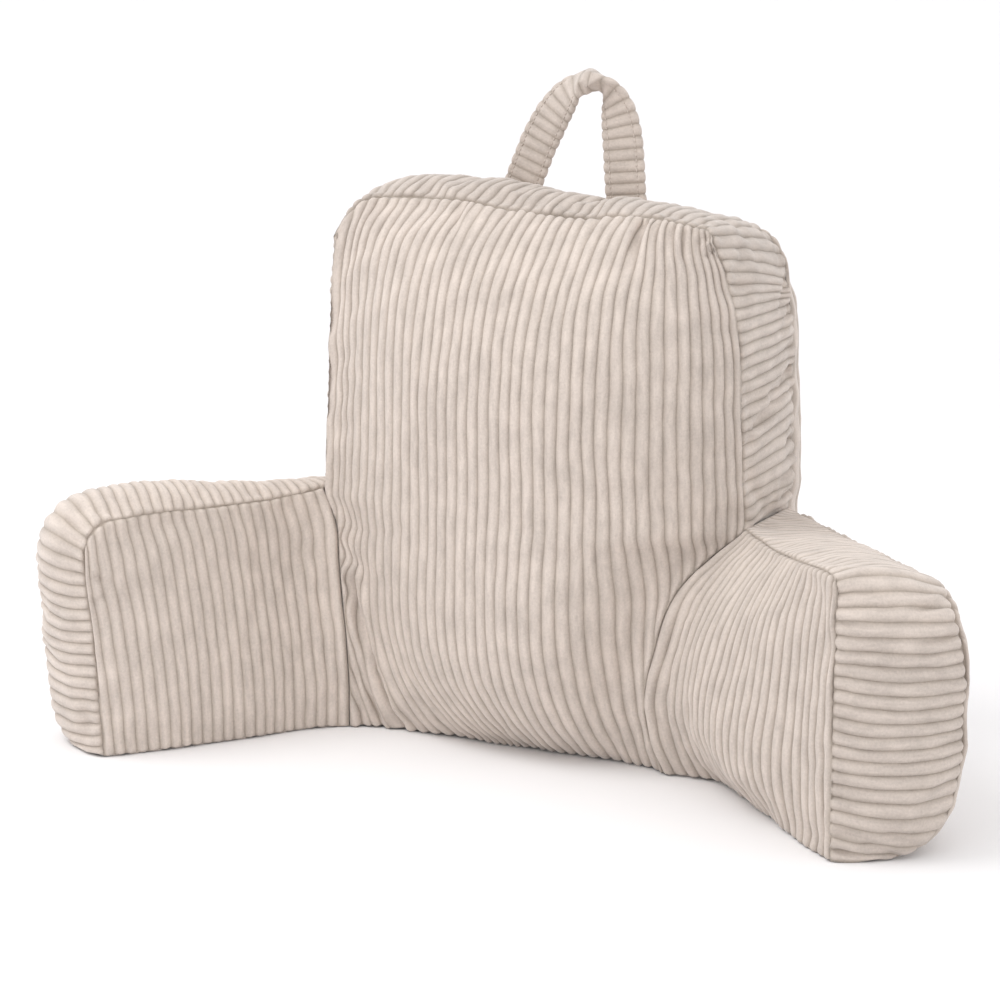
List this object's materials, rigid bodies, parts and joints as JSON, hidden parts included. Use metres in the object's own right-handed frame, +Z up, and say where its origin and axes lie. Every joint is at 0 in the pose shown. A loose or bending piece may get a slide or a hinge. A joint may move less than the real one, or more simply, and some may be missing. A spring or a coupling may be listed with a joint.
{
  "type": "reading pillow with arms",
  "caption": "Corduroy backrest pillow with splayed arms and a carrying handle, for sitting up in bed or on a sofa.",
  "frame": {"origin": "centre of the pillow's bounding box, on the floor it stands on", "axes": "+Z up; the front that a person leans on looks along -Y; +X across, from the left arm as seen from the front to the right arm"},
  "size_m": [0.7928, 0.4004, 0.5748],
  "materials": {
    "corduroy": "matte wide-wale corduroy, beige"
  },
  "bodies": {
    "root": {"backrest": "corduroy", "arm_left": "corduroy", "arm_right": "corduroy", "handle": "corduroy"}
  },
  "joints": []
}
